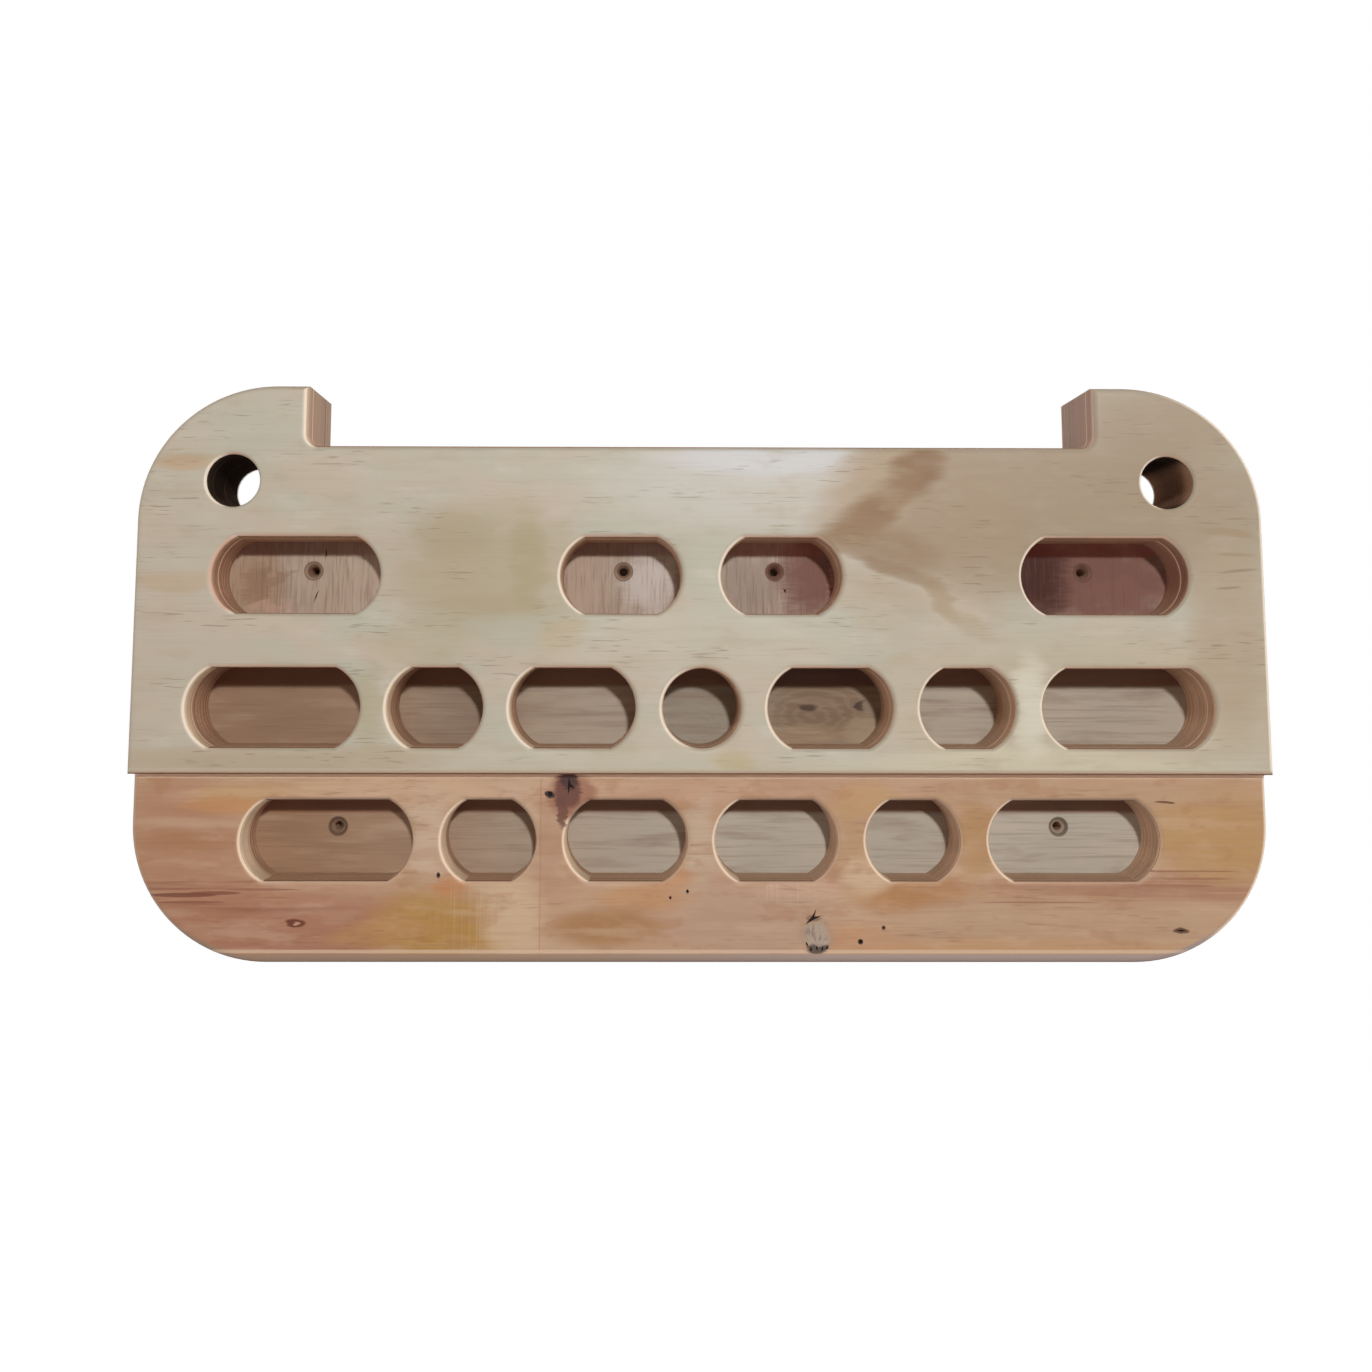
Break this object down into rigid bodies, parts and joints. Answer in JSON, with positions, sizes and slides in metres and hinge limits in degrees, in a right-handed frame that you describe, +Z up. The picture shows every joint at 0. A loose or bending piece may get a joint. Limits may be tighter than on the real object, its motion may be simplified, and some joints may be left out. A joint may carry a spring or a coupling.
{
  "type": "hangboard",
  "caption": "Laminated plywood finger-training board with rows of routed round-ended pockets, a stepped lower lip, hang holes, a notched top edge and countersunk fixing holes.",
  "frame": {"origin": "middle of the wall face: x = 0 on the centre line, y = 0 on the wall, z = 0 half way up the board", "axes": "+X along the board to the climber's right, +Y from the climber into the wall, +Z up"},
  "size_m": [0.58, 0.048, 0.294],
  "materials": {
    "pale_pine_veneer": "sanded pine face veneer, satin clear coat",
    "ruddy_pine_veneer": "sanded reddish pine face veneer with knots, satin clear coat",
    "floor_pine_veneer": "plain pine veneer at the pocket floors",
    "plywood_core": "cross-laid plies, edge grain showing as stripes"
  },
  "bodies": {
    "root": {"front_board_face_veneer": "pale_pine_veneer", "front_board_core": "plywood_core", "front_board_back_veneer": "pale_pine_veneer", "middle_board_face_veneer": "ruddy_pine_veneer", "middle_board_core": "plywood_core", "middle_board_back_veneer": "ruddy_pine_veneer", "back_board_face_veneer": "floor_pine_veneer", "back_board_core": "plywood_core", "back_board_back_veneer": "pale_pine_veneer"}
  },
  "joints": []
}
